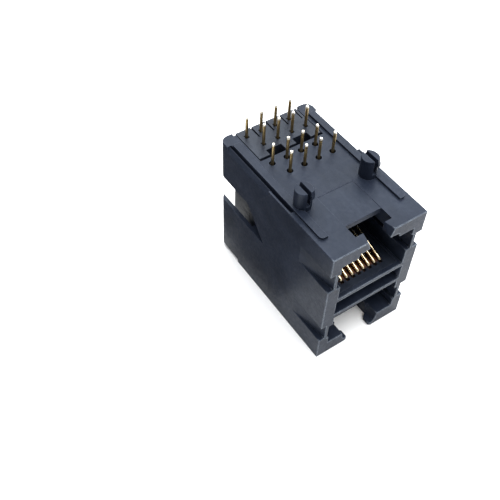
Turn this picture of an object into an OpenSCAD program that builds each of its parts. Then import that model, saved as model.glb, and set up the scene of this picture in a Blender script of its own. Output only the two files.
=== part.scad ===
// Two-port stacked modular jack for a circuit board.
// The board seating plane is z = 0 and the solder pins point along +Z.
// The two plug openings face -Y. Depths below the seating plane are
// written as d, so z = -d.

/* [Housing] */
// Width across the two side walls
housing_w = 16.2; // [15.8:0.1:17]
// Depth from the port face to the rear face
housing_d = 27.2; // [27:0.1:28]
// Height from the board seating rails to the outer end wall
housing_h = 23.7; // [23.5:0.1:24.5]
// Distance from the port face to the line through the board pegs
front_to_peg = 10.0; // [9.9:0.1:10.2]
// Radius of the upright rear corners
rear_corner_r = 1.2; // [0.6:0.1:1.3]
// Height of the two board standoff rails
rail_h = 0.4; // [0.2:0.05:0.6]

/* [Ports] */
// Width of each plug opening
port_w = 11.9; // [11.7:0.1:12]
// Depth of each plug opening
port_depth = 14.2; // [13.5:0.1:14.4]
// Width of the window behind the latch lips
latch_w = 6.3; // [6.1:0.1:6.6]
// Gap between the two latch lips of the board side port
lip_gap = 3.6; // [3.2:0.1:4]
// Thickness of the latch lips along the plug direction
lip_t = 1.75; // [1.5:0.05:2]
// Thickness of the two webs between the ports
web_t = 0.6; // [0.5:0.05:0.8]

/* [Board side] */
// Distance between the two board pegs
peg_pitch = 11.43; // [11.3:0.01:11.5]
// Radius of each board peg
peg_r = 1.3; // [1.2:0.05:1.4]
// Height of each board peg above the seating plane
peg_h = 3.05; // [2.8:0.05:3.2]
// Width of the slot that splits each peg
peg_slot = 0.6; // [0.5:0.05:0.8]
// Pitch between neighbouring pins of both rows of a port
pin_pitch = 1.27; // [1.27]
// Distance from the peg line to the first pin row
first_row = 6.35; // [6.35]
// Distance between the two pin rows of one port
row_pitch = 2.54; // [2.54]
// Distance between the pin groups of the two ports
group_gap = 4.1; // [4.0:0.05:4.15]
// Length of the solder pins past the seating plane
pin_len = 3.3; // [3:0.1:3.6]

/* [Contacts] */
// Diameter of the contact wire
wire_d = 0.46; // [0.4:0.02:0.48]
// Pitch of the contacts inside a port
contact_pitch = 1.02; // [1.02]
// Slope of the spring beams in degrees
beam_slope = 18; // [16:1:20]
// Length of the spring beams along the plug direction
beam_run = 8.6; // [7:0.2:9]

/* [Hidden] */
$fn = 48;
plastic = [0.17, 0.19, 0.24];
carrier_col = [0.12, 0.13, 0.16];
gold = [0.83, 0.66, 0.33];
e = 0.02;
hw = housing_w / 2;
pw = port_w / 2;
yf = -front_to_peg;            // port face
yr = housing_d - front_to_peg; // rear face
plate_d = rail_h;              // outer face of the board side wall
sh_lo = 2.8;                   // latch side shoulder, board side port
ct_lo = 10.3;                  // contact side wall, board side port
ct_up = 14.6;                  // contact side wall, far port
sh_up = 21.2;                  // latch side shoulder, far port
py = yf + port_depth;          // rear end of the plug openings
lip_y = yf + lip_t;            // rear faces of the latch lips
win_y = yf + 3.93;             // rear end of the latch windows
cav_w = 5.6;                   // half width of the rear cavity
ins_y = first_row + row_pitch + group_gap - 2.45; // front of the rear block
row_y = [first_row, first_row + row_pitch,
  first_row + row_pitch + group_gap, first_row + 2 * row_pitch + group_gap];
wr = wire_d / 2;
run_lo = ct_lo + 0.53;         // wire depth along the board side port
run_up = ct_up + 0.32;         // wire depth along the far port
tip_lo = yf + 0.75;            // front edge of the board side tongue
tip_up = yf + 2.7;             // front edge of the far tongue
nose_y = yf + 2.8;             // centre of the nose bends
bend_r = 0.45;                 // centreline radius of the nose bends
ins_r = yr - 0.25;             // rear face of the rear block
gap_w = 7.4;                   // half width inside the thin rear side walls
lip2_x = 2.2;                  // half gap between the far port's latch lips

// Box between two corners, with depth d measured below the seating plane
module bx(x0, x1, y0, y1, d0, d1)
  translate([x0, y0, -d1]) cube([x1 - x0, y1 - y0, d1 - d0]);
// The same box on both sides of the middle plane
module bx2(x0, x1, y0, y1, d0, d1) {
  bx(x0, x1, y0, y1, d0, d1);
  bx(-x1, -x0, y0, y1, d0, d1);
}
// Prism along X from a list of [y, z] points
module prism_x(x0, x1, pts)
  translate([x0, 0, 0]) rotate([90, 0, 90]) linear_extrude(x1 - x0) polygon(pts);
// Prism along Y from a list of [x, z] points
module prism_y(y0, y1, pts)
  translate([0, y1, 0]) rotate([90, 0, 0]) linear_extrude(y1 - y0) polygon(pts);
// Prism along Z from a list of [x, y] points
module prism_z(d0, d1, pts)
  translate([0, 0, -d1]) linear_extrude(d1 - d0) polygon(pts);

// ---- housing ----
// Cutter that rounds one upright rear corner, sx is the side
module rear_corner(sx)
  difference() {
    bx(sx > 0 ? hw - rear_corner_r : -hw - 1, sx > 0 ? hw + 1 : -hw + rear_corner_r,
       yr - rear_corner_r, yr + 1, -1, housing_h + 1);
    translate([sx * (hw - rear_corner_r), yr - rear_corner_r, -housing_h - 2])
      cylinder(r = rear_corner_r, h = housing_h + 4);
  }
// Wedge pocket in a side wall, open at the port face
module side_pocket(d0, d1, sx)
  prism_z(d0, d1, sx > 0
    ? [[hw + 1, yf - 1], [hw - 1, yf - 1], [hw - 1, yf], [hw, yf + 6.65], [hw + 1, yf + 6.65]]
    : [[-hw - 1, yf - 1], [-hw + 1, yf - 1], [-hw + 1, yf], [-hw, yf + 6.65], [-hw - 1, yf + 6.65]]);
// One snap peg: round shank split along Y, barb on the outer side of one
// prong, both tops falling away from the slot
module peg(sx)
  translate([sx * peg_pitch / 2, 0, 0])
    difference() {
      union() {
        translate([0, 0, -plate_d - 0.2]) cylinder(r = peg_r, h = peg_h + plate_d + 0.2);
        intersection() {
          translate([0, 0, peg_h - 1.3]) cylinder(r1 = peg_r + 0.28, r2 = peg_r - 0.04, h = 1.3);
          translate([peg_slot / 2, -3, 0]) cube([4, 6, 6]);
        }
      }
      translate([-peg_slot / 2, -3, 0.5]) cube([peg_slot, 6, 4]);
      for (s = [-1, 1]) translate([s * peg_slot / 2, 0, peg_h - e]) rotate([0, s * 9, 0])
        translate([s > 0 ? -0.3 : -4, -3, 0]) cube([4.3, 6, 2]);
    }
module lower_port_cut() {
  // plug body, side guide grooves, latch side and latch channel
  bx(-pw, pw, yf - 1, py, sh_lo + 0.1, ct_lo);
  bx(-6.3, 6.3, yf - 1, py - 1, sh_lo, sh_lo + 1.6);
  bx(-6.65, 6.65, yf - 1, yf + 8.5, sh_lo + 1.5, sh_lo + 4.6);
  bx(-latch_w / 2, latch_w / 2, lip_y, py - 2, 1.35, sh_lo + 0.2);
  // window behind the lips, gap between them and the lead-in under them
  bx(-latch_w / 2, latch_w / 2, lip_y, win_y, -1, sh_lo + 0.2);
  bx(-lip_gap / 2, lip_gap / 2, yf - 1, lip_y + e, -1, sh_lo + 0.2);
  prism_y(yf - 1, lip_y + e, [[-3.6, -sh_lo - 0.1], [-3.45, -2.2], [-3.2, -2.0], [-lip_gap / 2 - 0.02, -1.9],
    [-lip_gap / 2 + 0.1, -1.6], [lip_gap / 2 - 0.1, -1.6], [lip_gap / 2 + 0.02, -1.9],
    [3.2, -2.0], [3.45, -2.2], [3.6, -sh_lo - 0.1]]);
  // slanted front facets on the lip tips
  for (s = [-1, 1]) translate([s * (lip_gap / 2 + 0.05), lip_y, -plate_d])
    rotate([0, 0, s * 14.4]) rotate([0, s * 17.9, 0])
      translate([s > 0 ? -1.2 : 0, -3, -2.2]) cube([1.2, 3.4, 3.2]);
}
module upper_port_cut() {
  bx(-pw, pw, yf - 1, py, ct_up, sh_up - 0.1);
  bx(-6.3, 6.3, yf - 1, py - 1, sh_up - 1.6, sh_up);
  bx(-6.65, 6.65, yf - 1, yf + 8.5, sh_up - 4.7, sh_up - 1.5);
  bx(-latch_w / 2, latch_w / 2, yf + 2.2, py - 2, sh_up - 0.2, housing_h - 0.95);
  // window with slanting lip ends, then the gap between the thin lip tips
  bx(-latch_w / 2, latch_w / 2, yf + 2.2, yf + 4.1, sh_up - 0.1, housing_h + 1);
  prism_z(sh_up - 0.15, housing_h + 1, [[-latch_w / 2 + 0.2, yf + 2.5], [-latch_w / 2, yf + 2.2],
    [-lip2_x - 0.55, yf + 1.9], [-lip2_x, yf + 1.4], [lip2_x, yf + 1.4],
    [lip2_x + 0.55, yf + 1.9], [latch_w / 2, yf + 2.2], [latch_w / 2 - 0.2, yf + 2.5]]);
  prism_y(yf - 1, yf + 2.3, [[-3.45, -sh_up + 0.2], [-3.25, -22.3], [-3.05, -22.85], [-2.7, -23.1],
    [-lip2_x, -23.15], [-lip2_x, -housing_h - 1], [lip2_x, -housing_h - 1], [lip2_x, -23.15],
    [2.7, -23.1], [3.05, -22.85], [3.25, -22.3], [3.45, -sh_up + 0.2]]);
  for (s = [-1, 1]) prism_z(sh_up, housing_h + 1, [[s * (lip2_x - e), yf - 1], [s * (lip2_x + 0.35), yf - 1],
    [s * (lip2_x + 0.35), yf], [s * (lip2_x + 0.1), yf + 0.1], [s * lip2_x, yf + 0.35], [s * (lip2_x - e), yf + 0.35]]);
}
// Standoff rail with a rounded front outer corner, sx is the side. The
// rebate and the groove trim its outer wall to the same plane
module rail(sx) {
  bx(sx > 0 ? 6.2 : -6.8, sx > 0 ? 6.8 : -6.2, -6.4, 0, 0, plate_d + 0.1);
  translate([sx * 6.8, -5.84, -plate_d - 0.1]) cylinder(r = 0.56, h = plate_d + 0.1);
  bx(sx > 0 ? 6.2 : -7.36, sx > 0 ? 7.36 : -6.2, -5.84, -0.25, 0, plate_d + 0.1);
  bx(sx > 0 ? 6.2 : -7.5, sx > 0 ? 7.5 : -6.2, -0.25, yr - 2.45, 0, plate_d + 0.1);
}
module housing()
  color(plastic)
  difference() {
    union() {
      difference() {
        bx(-hw, hw, yf, yr, plate_d, housing_h);
        rear_corner(1);
        rear_corner(-1);
      }
      // board standoff rails and pegs
      rail(1);
      rail(-1);
      peg(1);
      peg(-1);
    }
    lower_port_cut();
    upper_port_cut();
    // deep recess between the two webs with a sloping floor
    prism_x(-6.1, 6.1, [[yf - 1, -ct_lo - web_t], [yf + 0.1, -ct_lo - web_t],
      [yf + 1.2, -ct_up + web_t + 0.95], [yf + 6.5, -ct_up + web_t + 0.95],
      [yf + 6.5, -ct_up + web_t], [yf - 1, -ct_up + web_t]]);
    // seat of the board side tongue
    bx(-5.55, 5.55, tip_lo - e, py, ct_lo - e, ct_lo + 1);
    // side wall pockets at the port face
    for (s = [-1, 1]) {
      side_pocket(s > 0 ? 4.3 : 3.9, 7.3, s);
      side_pocket(16, 19.3, s);
    }
    // rear cavity of the board side carrier, then of the rear block
    bx(-cav_w, cav_w, py - 1, yr + 1, 1.7, ct_lo + 1);
    bx(-cav_w, cav_w, ins_y - 0.42, yr + 1, -1, ct_lo + 5);
    // open space beside the carriers behind the thin rear side walls
    bx2(cav_w - 0.1, gap_w, yf + 19, yr + 1, 8, sh_up);
    bx(-cav_w, cav_w, py - 1, yr + 1, ct_up, sh_up);
    // clearance holes round the pins of the board side port
    for (i = [0:7])
      translate([(i - 3.5) * pin_pitch, row_y[i % 2 == 0 ? 1 : 0], -3]) cylinder(r = 0.5, h = 4);
    // wedge notches in the side walls at the rear
    for (s = [-1, 1])
      prism_x(s > 0 ? cav_w - 0.05 : -hw - 1, s > 0 ? hw + 1 : -cav_w + 0.05,
        [[5.1, -12.25], [9.4, -7.3], [yr + 1, -7.3], [yr + 1, -12.25]]);
    // rebates along the board side edges, then a groove and a steep chamfer
    bx2(7.36, 7.8, -0.25, 4.7, -1, 1.1);
    bx2(7.36, 7.7, 4.6, yr - 2.1, -1, 1.0);
    for (s = [-1, 1])
      prism_y(4.65, yr - 2.1, [[s * 7.65, 1], [s * 7.65, -plate_d + 0.056],
        [s * hw, -1.3], [s * (hw + 1), -1.3], [s * (hw + 1), 1]]);
    // shallow panel behind the latch window
    bx(-latch_w / 2, latch_w / 2, win_y - e, 0.1, -1, plate_d + 0.07);
    // shallow step along the rear end of the outer wall
    bx(-hw - 1, hw + 1, yr - 5.2, yr + 1, housing_h - 0.7, housing_h + 1);
    // notches between the side walls and the rear block
    bx2(cav_w - e, cav_w + 0.35, yr - 0.55, yr + 1, -1, 1.5);
  }

// ---- carriers ----
// Flat plate with a comb of wire grooves and a common channel behind it
module lower_tongue() {
  y_end = 6;
  difference() {
    bx(-5.5, 5.5, tip_lo, y_end, ct_lo, ct_lo + 0.95);
    for (i = [0:7]) let (x = (i - 3.5) * contact_pitch) {
      // open towards the port round the nose bends, then covered
      bx(x - wr - 0.07, x + wr + 0.07, yf + 1.8, yf + 4.8, ct_lo - 1, run_lo + 0.27);
      bx(x - wr - 0.07, x + wr + 0.07, yf + 4.7, -1.9, run_lo - 0.27, run_lo + 0.27);
    }
    bx(-4.95, 4.95, -2, y_end + 1, run_lo - 0.27, run_lo + 0.27);
  }
}
module upper_tongue() {
  y_end = 6;
  difference() {
    bx(-5.5, 5.5, tip_up, y_end, run_up - 0.27, run_up + 0.55);
    for (i = [0:7]) let (x = (i - 3.5) * contact_pitch)
      bx(x - wr - 0.07, x + wr + 0.07, tip_up - 1, -1.9, run_up - 0.3, run_up + 0.27);
    bx(-4.95, 4.95, -2, y_end + 1, run_up - 0.3, run_up + 0.27);
  }
}
module leg_holes(rows, d0, d1)
  for (i = [0:7])
    translate([(i - 3.5) * pin_pitch - wr - 0.08, row_y[rows + (i % 2 == 0 ? 1 : 0)] - wr - 0.15, -d1])
      cube([wire_d + 0.16, wire_d + 0.23, d1 - d0]);
module lower_contact_carrier()
  color(carrier_col)
  difference() {
    union() {
      lower_tongue();
      // upright block behind the plug opening
      difference() {
        bx(-5.5, 5.5, py + 0.1, ins_y - 0.35, 1.8, ct_lo + 0.95);
        bx(-4.95, 4.95, py, row_y[1] + wr + 0.35, run_lo - 0.27, run_lo + 1);
      }
      // end stops of the spring beams
      bx2(5.0, 5.5, py - 1.6, py + 0.2, 3.2, ct_lo + 0.1);
    }
    leg_holes(0, 0, run_lo);
  }
module upper_contact_carrier()
  color(carrier_col)
  difference() {
    union() {
      upper_tongue();
      // plate over the wires, rear wall of the port and closed rear wall
      bx(-5.5, 5.5, py + 0.1, ins_r, run_up + 0.3, run_up + 1.7);
      bx(-5.5, 5.5, py + 0.1, py + 1.9, run_up + 0.3, sh_up - 0.1);
      bx(-5.5, 5.5, ins_r - 1.2, ins_r, run_up - 0.3, sh_up - 0.1);
      bx2(4.95, 5.5, 5.9, ins_r, run_up - 0.27, sh_up - 0.1);
      // upright block down to the board
      bx(-5.5, 5.5, ins_y, ins_r, plate_d, run_up - 0.3);
    }
    leg_holes(2, 0, run_up);
    // channel where the wires cross from the plate to the upright block
    bx(-4.95, 4.95, py, ins_r - 1.2, run_up - 0.3, run_up + 0.3);
    // windows at the front edge of the upright block
    bx2(1.0, 3.65, ins_y - 1, ins_y + 1.1, -1, 7.5);
    // narrow grooves from the rear edge
    for (i = [0:3])
      bx(-2.8 - 0.11 + i * 2.6, -2.8 + 0.11 + i * 2.6, ins_r - 2.4, yr, -1, plate_d + 0.6);
    // core pockets in the rear face
    bx2(0.7, 4.6, ins_r - 0.6, yr, 3.2, 8.4);
    bx2(0.7, 4.6, ins_r - 0.6, yr, 9.4, 13.6);
  }

// ---- contacts ----
function unit(v) = v / norm(v);
// Arc points in the YZ plane about c, from angle a0 to a1
function arc(x, c, r, a0, a1, n) = [for (k = [0:n]) let (a = a0 + (a1 - a0) * k / n) [x, c[0] + r * cos(a), c[1] + r * sin(a)]];
// Tangent direction at point k of a path
function tang(p, k) = let (n = len(p) - 1)
  k == 0 ? unit(p[1] - p[0]) : k == n ? unit(p[n] - p[n - 1])
  : unit(unit(p[k] - p[k - 1]) + unit(p[k + 1] - p[k]));
module wire(path, r, sides = 10) {
  n = len(path);
  pts = [for (k = [0:n - 1])
    let (t = tang(path, k), u = unit([1, 0, 0] - t * t[0]), v = cross(t, u),
         s = (k == 0 || k == n - 1) ? 0.75 * r : r)
    for (j = [0:sides - 1]) let (a = 360 * j / sides) path[k] + s * (cos(a) * u + sin(a) * v)];
  faces = concat(
    [[for (j = [0:sides - 1]) j]],
    [[for (j = [0:sides - 1]) n * sides - 1 - j]],
    [for (k = [0:n - 2]) for (j = [0:sides - 1]) let (q = (j + 1) % sides)
      [k * sides + j, (k + 1) * sides + j, (k + 1) * sides + q, k * sides + q]]);
  polyhedron(points = pts, faces = faces, convexity = 6);
}
// Path of one contact: pin tip, leg, turn, run under the port, nose bend, beam.
// m is +1 for the board side port and -1 for the far port
function contact_path(i, run_d, rows, m) =
  let (xp = (i - 3.5) * pin_pitch, xc = (i - 3.5) * contact_pitch,
       yl = row_y[rows + (i % 2 == 0 ? 1 : 0)], rb = 0.45,
       ya = nose_y, s = beam_slope,
       cz = -run_d + m * bend_r,
       b0 = [ya - bend_r * sin(s), cz + m * bend_r * cos(s)])
  concat(
    [[xp, yl, pin_len], [xp, yl, pin_len - 0.18]],
    [for (k = [0:4]) let (a = 90 * k / 4) [xp, yl - rb + rb * cos(a), -run_d + rb - rb * sin(a)]],
    [[xp, yl - 0.9, -run_d], [xc, -1.6, -run_d], [xc, ya, -run_d]],
    [for (k = [1:6]) let (a = (180 - s) * k / 6) [xc, ya - bend_r * sin(a), cz - m * bend_r * cos(a)]],
    [[xc, b0[0] + beam_run * 0.97, b0[1] + m * beam_run * 0.97 * tan(s)],
     [xc, b0[0] + beam_run, b0[1] + m * beam_run * tan(s)]]);
module lower_contact(i) color(gold) wire(contact_path(i, run_lo, 0, 1), wr);
module upper_contact(i) color(gold) wire(contact_path(i, run_up, 2, -1), wr);

housing();
lower_contact_carrier();
upper_contact_carrier();
lower_contact(0);  // lower_contact_1
lower_contact(1);  // lower_contact_2
lower_contact(2);  // lower_contact_3
lower_contact(3);  // lower_contact_4
lower_contact(4);  // lower_contact_5
lower_contact(5);  // lower_contact_6
lower_contact(6);  // lower_contact_7
lower_contact(7);  // lower_contact_8
upper_contact(0);  // upper_contact_1
upper_contact(1);  // upper_contact_2
upper_contact(2);  // upper_contact_3
upper_contact(3);  // upper_contact_4
upper_contact(4);  // upper_contact_5
upper_contact(5);  // upper_contact_6
upper_contact(6);  // upper_contact_7
upper_contact(7);  // upper_contact_8
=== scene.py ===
import math

import bmesh
import bpy
from mathutils import Matrix, Vector


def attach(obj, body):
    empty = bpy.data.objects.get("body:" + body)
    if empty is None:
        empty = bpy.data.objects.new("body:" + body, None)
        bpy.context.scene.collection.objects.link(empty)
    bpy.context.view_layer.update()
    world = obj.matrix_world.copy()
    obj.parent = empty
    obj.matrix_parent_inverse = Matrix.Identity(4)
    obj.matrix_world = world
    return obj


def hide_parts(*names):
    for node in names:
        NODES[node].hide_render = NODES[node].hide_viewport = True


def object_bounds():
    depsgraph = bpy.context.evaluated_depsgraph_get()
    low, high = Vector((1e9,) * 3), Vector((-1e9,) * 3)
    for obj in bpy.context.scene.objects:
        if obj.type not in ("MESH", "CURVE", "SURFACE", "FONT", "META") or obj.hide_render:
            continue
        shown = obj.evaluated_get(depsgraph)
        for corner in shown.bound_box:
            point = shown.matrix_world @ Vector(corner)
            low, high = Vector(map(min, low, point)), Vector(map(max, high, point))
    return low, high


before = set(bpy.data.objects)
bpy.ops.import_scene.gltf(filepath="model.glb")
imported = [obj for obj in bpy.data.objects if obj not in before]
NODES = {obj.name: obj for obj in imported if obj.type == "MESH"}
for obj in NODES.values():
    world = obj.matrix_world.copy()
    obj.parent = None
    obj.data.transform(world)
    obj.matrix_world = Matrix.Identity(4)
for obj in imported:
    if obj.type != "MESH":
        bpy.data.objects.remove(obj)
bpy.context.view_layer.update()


MM = 0.001


# ---------------------------------------------------------------- node helpers
def new_material(name):
    m = bpy.data.materials.new(name)
    m.use_nodes = True
    nt = m.node_tree
    nt.nodes.clear()
    out = nt.nodes.new("ShaderNodeOutputMaterial")
    bsdf = nt.nodes.new("ShaderNodeBsdfPrincipled")
    nt.links.new(bsdf.outputs[0], out.inputs[0])
    return m, nt, bsdf


def coords(nt, scale=(1000, 1000, 1000)):
    """Object coordinates in millimetres."""
    tc = nt.nodes.new("ShaderNodeTexCoord")
    mp = nt.nodes.new("ShaderNodeMapping")
    mp.inputs["Scale"].default_value = scale
    nt.links.new(tc.outputs["Object"], mp.inputs["Vector"])
    return mp.outputs["Vector"]


def noise(nt, vec, scale, detail=3.0, rough=0.55, distortion=0.0):
    n = nt.nodes.new("ShaderNodeTexNoise")
    n.inputs["Scale"].default_value = scale
    n.inputs["Detail"].default_value = detail
    n.inputs["Roughness"].default_value = rough
    n.inputs["Distortion"].default_value = distortion
    nt.links.new(vec, n.inputs["Vector"])
    return n.outputs["Fac"]


def math_node(nt, op, a, b=None, clamp=False):
    n = nt.nodes.new("ShaderNodeMath")
    n.operation = op
    n.use_clamp = clamp
    for k, v in enumerate((a, b)):
        if v is None:
            continue
        if isinstance(v, (int, float)):
            n.inputs[k].default_value = v
        else:
            nt.links.new(v, n.inputs[k])
    return n.outputs[0]


def remap(nt, v, a0, a1, b0, b1):
    n = nt.nodes.new("ShaderNodeMapRange")
    n.inputs["From Min"].default_value = a0
    n.inputs["From Max"].default_value = a1
    n.inputs["To Min"].default_value = b0
    n.inputs["To Max"].default_value = b1
    nt.links.new(v, n.inputs["Value"])
    return n.outputs[0]


def mix_colour(nt, fac, a, b):
    n = nt.nodes.new("ShaderNodeMix")
    n.data_type = "RGBA"
    fac_in, a_in, b_in = n.inputs[0], n.inputs[6], n.inputs[7]
    if isinstance(fac, (int, float)):
        fac_in.default_value = fac
    else:
        nt.links.new(fac, fac_in)
    for v, s in ((a, a_in), (b, b_in)):
        if isinstance(v, tuple):
            s.default_value = (*v, 1.0)
        else:
            nt.links.new(v, s)
    return n.outputs[2]


def bump(nt, height, distance, strength, normal=None):
    n = nt.nodes.new("ShaderNodeBump")
    n.inputs["Distance"].default_value = distance
    n.inputs["Strength"].default_value = strength
    nt.links.new(height, n.inputs["Height"])
    if normal is not None:
        nt.links.new(normal, n.inputs["Normal"])
    return n.outputs["Normal"]


def edge_mask(nt, radius, lo, hi):
    """1 on rounded edges, 0 on flats: how far the bevelled normal leans from the true one. The edge wear and the
    painted edge highlights are drawn with it.
    """
    bv = nt.nodes.new("ShaderNodeBevel")
    bv.samples = 6
    bv.inputs["Radius"].default_value = radius
    geo = nt.nodes.new("ShaderNodeNewGeometry")
    dot = nt.nodes.new("ShaderNodeVectorMath")
    dot.operation = "DOT_PRODUCT"
    nt.links.new(bv.outputs[0], dot.inputs[0])
    nt.links.new(geo.outputs["Normal"], dot.inputs[1])
    return remap(nt, dot.outputs["Value"], lo, hi, 1.0, 0.0), bv.outputs[0]


# ---------------------------------------------------------------- materials
def moulded_plastic(name, base, light, dark, spec=0.45, rough=(0.42, 0.56), seed=0.0, comb=None, rim=None):
    """Injection-moulded plastic: spark-eroded skin, faint flow marks, edges painted lighter as wear and as a painted
    highlight, an optional painted highlight on the port mouth's edges (rim) and an optional painted reflection of the
    gold wires in the comb grooves (comb).
    """
    m, nt, bsdf = new_material(name)
    v = coords(nt)
    sh = nt.nodes.new("ShaderNodeVectorMath")
    sh.operation = "ADD"
    sh.inputs[1].default_value = (seed, seed * 1.7, seed * 0.6)
    nt.links.new(v, sh.inputs[0])
    v = sh.outputs[0]
    flow = nt.nodes.new("ShaderNodeMapping")
    flow.inputs["Scale"].default_value = (0.9, 0.35, 0.6)
    flow.inputs["Rotation"].default_value = (0.35, 0.2, 0.5)
    nt.links.new(v, flow.inputs["Vector"])
    big = noise(nt, flow.outputs[0], 0.28, 4.0, 0.6, 0.6)
    mid = noise(nt, v, 1.7, 5.0, 0.62)
    grain = noise(nt, v, 14.0, 3.0, 0.6)
    spark = noise(nt, v, 30.0, 2.0, 0.55)
    # colour: cloudy flow marks, small speckle, rubbed edges
    c = mix_colour(nt, remap(nt, big, 0.36, 0.66, 0.0, 1.0), dark, light)
    c = mix_colour(nt, remap(nt, mid, 0.3, 0.72, 0.0, 0.55), c, base)
    c = mix_colour(nt, remap(nt, grain, 0.35, 0.7, 0.0, 0.22), c, dark)
    edge, _ = edge_mask(nt, 0.00012, 0.86, 0.995)
    # edges painted lighter: partly real rubbing wear, partly a painted highlight along the edges
    wear_and_edge_highlight = math_node(nt, "MULTIPLY", edge, remap(nt, mid, 0.3, 0.62, 0.15, 0.75), True)
    c = mix_colour(nt, wear_and_edge_highlight, c, tuple(min(1.0, x * 1.9 + 0.03) for x in light))
    if rim:
        # painted highlight: the edges at the port mouth are painted bright to stand in for the light they catch
        sep = nt.nodes.new("ShaderNodeSeparateXYZ")
        nt.links.new(coords(nt), sep.inputs[0])
        near = remap(nt, sep.outputs["Y"], -9.4, -9.8, 0.0, 1.0)
        lean, _ = edge_mask(nt, 0.00032, 0.90, 0.999)
        painted_mouth_highlight = math_node(nt, "MULTIPLY", math_node(nt, "MULTIPLY", lean, near, True), remap(nt, mid, 0.34, 0.6, 0.35, 1.0), True)
        c = mix_colour(nt, painted_mouth_highlight, c, rim)
    if comb:
        # painted reflection: a warm amber glow painted into the comb grooves of the front tongue, standing in for the
        # gold wires' light bounced onto the plastic
        sep = nt.nodes.new("ShaderNodeSeparateXYZ")
        nt.links.new(coords(nt), sep.inputs[0])
        low = remap(nt, sep.outputs["Z"], -10.2, -10.36, 0.35, 1.0)
        front = remap(nt, sep.outputs["Y"], -7.9, -7.3, 0.0, 1.0)
        back = remap(nt, sep.outputs["Y"], -5.6, -4.2, 1.0, 0.0)
        wide = remap(nt, math_node(nt, "ABSOLUTE", sep.outputs["X"]), 3.7, 4.1, 1.0, 0.0)
        above = remap(nt, sep.outputs["Z"], -11.6, -11.3, 0.0, 1.0)
        painted_gold_bounce = math_node(nt, "MULTIPLY", math_node(nt, "MULTIPLY", low, front), math_node(nt, "MULTIPLY", back, wide))
        painted_gold_bounce = math_node(nt, "MULTIPLY", painted_gold_bounce, above, True)
        c = mix_colour(nt, painted_gold_bounce, c, comb)
    nt.links.new(c, bsdf.inputs["Base Color"])
    r = remap(nt, mid, 0.3, 0.7, rough[0], rough[1])
    r = math_node(nt, "ADD", r, math_node(nt, "MULTIPLY", spark, 0.05), True)
    nt.links.new(r, bsdf.inputs["Roughness"])
    bsdf.inputs["Specular IOR Level"].default_value = spec
    bsdf.inputs["Specular Tint"].default_value = (0.74, 0.85, 1.0, 1.0)
    bsdf.inputs["IOR"].default_value = 1.52
    nrm = bump(nt, spark, 0.00001, 0.55)
    nrm = bump(nt, mid, 0.00006, 0.25, nrm)
    nt.links.new(nrm, bsdf.inputs["Normal"])
    return m


def contact_metal(name, tip_z):
    """Gold-plated spring wire: drawing lines along the wire, tarnish clouds, beams painted a lighter cream as a
    painted highlight and pins painted darker as painted shade, and sheared tips above tip_z painted near white, partly
    bare cut metal and partly a painted highlight.
    """
    m, nt, bsdf = new_material(name)
    v = coords(nt)
    cloud = noise(nt, v, 0.9, 4.0, 0.6)
    fine = noise(nt, v, 9.0, 3.0, 0.6)
    lines = nt.nodes.new("ShaderNodeMapping")
    lines.inputs["Scale"].default_value = (22.0, 22.0, 1.2)
    nt.links.new(v, lines.inputs["Vector"])
    drawn = noise(nt, lines.outputs[0], 1.0, 2.0, 0.5)
    c = mix_colour(nt, remap(nt, cloud, 0.35, 0.65, 0.0, 1.0), (0.46, 0.33, 0.14), (0.74, 0.57, 0.30))
    c = mix_colour(nt, remap(nt, fine, 0.45, 0.75, 0.0, 0.45), c, (0.28, 0.18, 0.07))
    sep = nt.nodes.new("ShaderNodeSeparateXYZ")
    nt.links.new(v, sep.inputs[0])
    z = math_node(nt, "ADD", sep.outputs["Z"], math_node(nt, "MULTIPLY", fine, 0.12))
    # painted light: the beams below z -3 mm are painted a lighter cream for their highlight, the pins above z -0.5 mm
    # a darker brown for painted shade; the same mask makes the pins rougher
    pin_shade_beam_highlight = remap(nt, z, -3.0, -0.5, 0.0, 1.0)
    c = mix_colour(nt, pin_shade_beam_highlight, mix_colour(nt, 0.6, c, (0.98, 0.84, 0.60)), mix_colour(nt, 0.55, c, (0.20, 0.15, 0.07)))
    # the sheared tips are painted near white: partly the bare cut metal, partly a painted highlight for their glint
    bare_tip_and_glint = remap(nt, z, tip_z, tip_z + 0.08, 0.0, 1.0)
    c = mix_colour(nt, bare_tip_and_glint, c, (0.97, 0.93, 0.82))
    nt.links.new(c, bsdf.inputs["Base Color"])
    bsdf.inputs["Metallic"].default_value = 1.0
    r = math_node(nt, "ADD", remap(nt, fine, 0.3, 0.7, 0.13, 0.24), math_node(nt, "MULTIPLY", pin_shade_beam_highlight, 0.17), True)
    r = math_node(nt, "ADD", r, math_node(nt, "MULTIPLY", bare_tip_and_glint, 0.15), True)
    nt.links.new(r, bsdf.inputs["Roughness"])
    nt.links.new(bump(nt, drawn, 0.000006, 0.5), bsdf.inputs["Normal"])
    return m


# rim= is the colour of the painted highlight on the port mouth's edges
HOUSING = moulded_plastic("housing_moulded", (0.011, 0.0150, 0.026), (0.017, 0.022, 0.036), (0.006, 0.0085, 0.016),
                          spec=0.15, rough=(0.36, 0.50), rim=(0.165, 0.19, 0.225))
# comb= is the colour of the painted reflection of the gold wires in the comb grooves
CARRIER = moulded_plastic("carrier_moulded", (0.011, 0.014, 0.022), (0.017, 0.021, 0.030), (0.006, 0.008, 0.014),
                          spec=0.14, rough=(0.26, 0.38), seed=11.0, comb=(0.13, 0.045, 0.014))
METAL = contact_metal("contact_gold", 3.02)


def dress(obj, mat):
    obj.data.materials.clear()
    obj.data.materials.append(mat)


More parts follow.
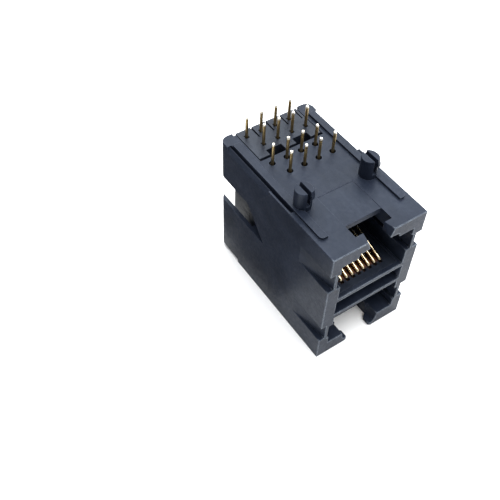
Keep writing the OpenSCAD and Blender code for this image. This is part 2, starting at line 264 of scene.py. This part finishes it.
# ---------------------------------------------------------------- rounded copies of the moulded parts
def bevelled(node, name, mat, width, angle=32.0, segments=2):
    """A copy of the CAD solid with every sharp outer edge rounded, as a mould leaves it."""
    me = NODES[node].data.copy()
    me.name = name
    ob = bpy.data.objects.new(name, me)
    bpy.context.scene.collection.objects.link(ob)
    bm = bmesh.new()
    bm.from_mesh(me)
    bmesh.ops.remove_doubles(bm, verts=bm.verts, dist=2e-6)
    bmesh.ops.dissolve_degenerate(bm, dist=1e-6, edges=bm.edges)
    bmesh.ops.dissolve_limit(bm, angle_limit=math.radians(0.6), use_dissolve_boundaries=False,
                             verts=bm.verts, edges=bm.edges)
    bmesh.ops.connect_verts_concave(bm, faces=bm.faces)
    weight = bm.edges.layers.float.new("bevel_weight_edge")
    for e in bm.edges:
        if len(e.link_faces) == 2:
            turn = e.calc_face_angle_signed(0.0)
            # no rounding where the corner's own edges are shorter than the round
            tight = any(k.calc_length() < 2.2 * width for v in e.verts for k in v.link_edges)
            e[weight] = 1.0 if turn > math.radians(angle) and not tight else 0.0
            flats = min(f.calc_area() for f in e.link_faces) > 1.2e-6
            e.smooth = abs(turn) < math.radians(1.0 if flats else angle)
    for f in bm.faces:
        f.smooth = True
    bm.to_mesh(me)
    bm.free()
    bv = ob.modifiers.new("round", "BEVEL")
    bv.width = width
    bv.segments = segments
    bv.limit_method = "WEIGHT"
    bv.use_clamp_overlap = False
    bv.miter_outer = "MITER_SHARP"
    wn = ob.modifiers.new("flats", "WEIGHTED_NORMAL")
    wn.mode = "FACE_AREA"
    wn.weight = 100
    wn.keep_sharp = True
    dg = bpy.context.evaluated_depsgraph_get()
    done = bpy.data.meshes.new_from_object(ob.evaluated_get(dg), preserve_all_data_layers=True, depsgraph=dg)
    ob.modifiers.clear()
    ob.data = done
    done.name = name
    dress(ob, mat)
    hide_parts(node)
    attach(ob, "root")
    return ob


shell = bevelled("housing", "housing_shell", HOUSING, 0.05 * MM)
low = bevelled("lower_contact_carrier", "lower_carrier_body", CARRIER, 0.04 * MM)
upp = bevelled("upper_contact_carrier", "upper_carrier_body", CARRIER, 0.04 * MM)


def smooth_wire(node, name):
    """A copy of a contact with round shading along the wire and crisp sheared ends."""
    me = NODES[node].data.copy()
    me.name = name
    ob = bpy.data.objects.new(name, me)
    bpy.context.scene.collection.objects.link(ob)
    bm = bmesh.new()
    bm.from_mesh(me)
    bmesh.ops.remove_doubles(bm, verts=bm.verts, dist=1e-6)
    for f in bm.faces:
        f.smooth = True
    for e in bm.edges:
        if len(e.link_faces) == 2:
            e.smooth = abs(e.calc_face_angle_signed(0.0)) < math.radians(50)
    bm.to_mesh(me)
    bm.free()
    dress(ob, METAL)
    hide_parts(node)
    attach(ob, "root")


for n in sorted(NODES):
    if "_contact_" in n and n[-1].isdigit():
        smooth_wire(n, n.replace("contact", "wire"))

# ---------------------------------------------------------------- floor
b0, b1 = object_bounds()
floor_z = b0[2]
fm, fnt, fb = new_material("floor_paper")
fv = coords(fnt)
fc = mix_colour(fnt, remap(fnt, noise(fnt, fv, 0.02, 3.0), 0.3, 0.7, 0.0, 1.0), (0.93, 0.93, 0.93), (0.96, 0.96, 0.96))
fnt.links.new(fc, fb.inputs["Base Color"])
fb.inputs["Roughness"].default_value = 0.75
fnt.links.new(bump(fnt, noise(fnt, fv, 1.5, 4.0), 0.00004, 0.15), fb.inputs["Normal"])
bpy.ops.mesh.primitive_grid_add(x_subdivisions=8, y_subdivisions=8, size=3.0, location=(0, 0, floor_z - 0.00002))
floor = bpy.context.active_object
floor.name = "floor"
dress(floor, fm)

# ---------------------------------------------------------------- light
# a dark card lies on the floor beside the -X wall: it only calms the floor's white reflection in
# that wall, so the camera and the shadows don't see it
cm, cnt, cb = new_material("flag_card")
cc = mix_colour(cnt, remap(cnt, noise(cnt, coords(cnt), 0.2, 3.0), 0.3, 0.7, 0.0, 1.0), (0.012, 0.014, 0.02), (0.02, 0.023, 0.032))
cnt.links.new(cc, cb.inputs["Base Color"])
cb.inputs["Roughness"].default_value = 0.8
bpy.ops.mesh.primitive_grid_add(x_subdivisions=2, y_subdivisions=2, size=1.0, location=(-0.0835, 0.074, floor_z + 0.0002))
card = bpy.context.active_object
card.name = "flag"
card.scale = (0.148, 0.144, 1.0)
dress(card, cm)
card.visible_camera = False
card.visible_shadow = False
card.visible_diffuse = False
world = bpy.data.worlds.new("studio")
bpy.context.scene.world = world
world.use_nodes = True
wt = world.node_tree
bg = wt.nodes["Background"]
# a bright ceiling behind and to the right, darker walls to the left and the front
wtc = wt.nodes.new("ShaderNodeTexCoord")
wdot = wt.nodes.new("ShaderNodeVectorMath")
wdot.operation = "DOT_PRODUCT"
wdot.inputs[1].default_value = Vector((0.62, 0.25, 0.74)).normalized()
wt.links.new(wtc.outputs["Generated"], wdot.inputs[0])
wramp = wt.nodes.new("ShaderNodeMapRange")
wramp.interpolation_type = "SMOOTHSTEP"
wramp.inputs["From Min"].default_value = -0.3
wramp.inputs["From Max"].default_value = 0.8
wramp.inputs["To Min"].default_value = 0.28
wramp.inputs["To Max"].default_value = 1.65
wt.links.new(wdot.outputs["Value"], wramp.inputs["Value"])
# seen directly, the room is one even pale backdrop
wpath = wt.nodes.new("ShaderNodeLightPath")
wmix = wt.nodes.new("ShaderNodeMix")
wmix.data_type = "FLOAT"
wt.links.new(wpath.outputs["Is Camera Ray"], wmix.inputs[0])
wt.links.new(wramp.outputs[0], wmix.inputs[2])
wmix.inputs[3].default_value = 0.93
wt.links.new(wmix.outputs[0], bg.inputs["Strength"])
bg.inputs["Color"].default_value = (0.96, 0.98, 1.0, 1.0)


def area(name, pos, target, size, power, colour=(1, 1, 1)):
    d = bpy.data.lights.new(name, "AREA")
    d.shape = "RECTANGLE"
    d.size, d.size_y = size
    d.energy = power
    d.color = colour
    o = bpy.data.objects.new(name, d)
    bpy.context.scene.collection.objects.link(o)
    o.location = Vector(pos)
    o.rotation_euler = (Vector(target) - Vector(pos)).to_track_quat("-Z", "Y").to_euler()
    return o


area("key", (0.02, -0.06, 0.42), (0, 0, -0.01), (0.36, 0.36), 2.4)
area("rim", (0.18, 0.24, 0.34), (0, 0, -0.01), (0.3, 0.24), 1.5)

# ---------------------------------------------------------------- camera
cam_d = bpy.data.cameras.new("camera")
cam = bpy.data.objects.new("camera", cam_d)
bpy.context.scene.collection.objects.link(cam)
right = Vector((0.8226, -0.5671, 0.0419))
up = Vector((0.41590, 0.65027, 0.63575))
fwd = Vector((0.38775, 0.50556, -0.77076)).normalized()
right = fwd.cross(up).normalized()
up = right.cross(fwd).normalized()
cam.matrix_world = Matrix((
    (right.x, up.x, -fwd.x, -0.048294),
    (right.y, up.y, -fwd.y, -0.048579),
    (right.z, up.z, -fwd.z, 0.068367),
    (0, 0, 0, 1)))
cam_d.sensor_fit = "HORIZONTAL"
cam_d.sensor_width = 36.0
cam_d.lens = 50.216
cam_d.shift_x = -0.0362
cam_d.shift_y = -0.0061
cam_d.clip_start = 0.001
cam_d.clip_end = 10.0
bpy.context.scene.camera = cam
bpy.context.scene.view_settings.view_transform = "Standard"
